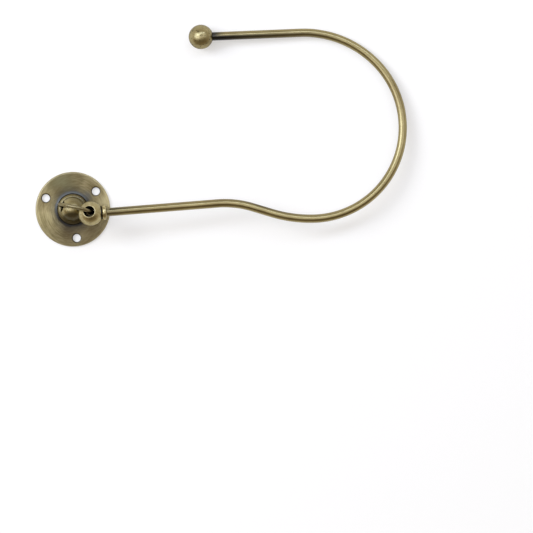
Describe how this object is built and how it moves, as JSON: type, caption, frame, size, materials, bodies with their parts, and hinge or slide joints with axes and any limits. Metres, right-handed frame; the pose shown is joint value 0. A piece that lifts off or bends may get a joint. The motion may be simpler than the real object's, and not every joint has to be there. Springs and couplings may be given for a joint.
{
  "type": "curtain holdback",
  "caption": "Curtain holdback: a round wall plate with a drilled ball, linked by a wire ring to a bent rod hook that ends in a ball finial.",
  "frame": {"origin": "centre of the wall plate on its back face", "axes": "+Z out of the wall through the post, +X along the arm away from the plate, +Y towards the hook's free end"},
  "size_m": [0.2487, 0.1484, 0.0361],
  "materials": {
    "brushed_plate_brass": "aged brass, brushed in circles, dark in the corners",
    "ball_brass": "aged brass, satin polish, dark in the grooves",
    "wire_brass": "aged brass wire, satin",
    "rod_brass": "aged brass rod, satin, dark beside the finial"
  },
  "bodies": {
    "plate": {"wall_plate": "brushed_plate_brass", "ball_post": "ball_brass"},
    "ring": {"link_ring": "wire_brass"},
    "arm": {"arm_eye": "ball_brass", "hook_arm": "rod_brass", "finial_ball": "ball_brass"}
  },
  "joints": [
    {"name": "ring_swing", "type": "hinge", "parent": "plate", "child": "ring", "pos_m": [0, 0, 0.01375], "axis": [0.9368, -0.2318, -0.2622], "range_deg": [0, 80]},
    {"name": "arm_swing", "type": "hinge", "parent": "ring", "child": "arm", "pos_m": [0.01248, -0.00312, 0.0244], "axis": [-0.1026, 0.1921, 0.976], "range_deg": [-45, 0]}
  ]
}
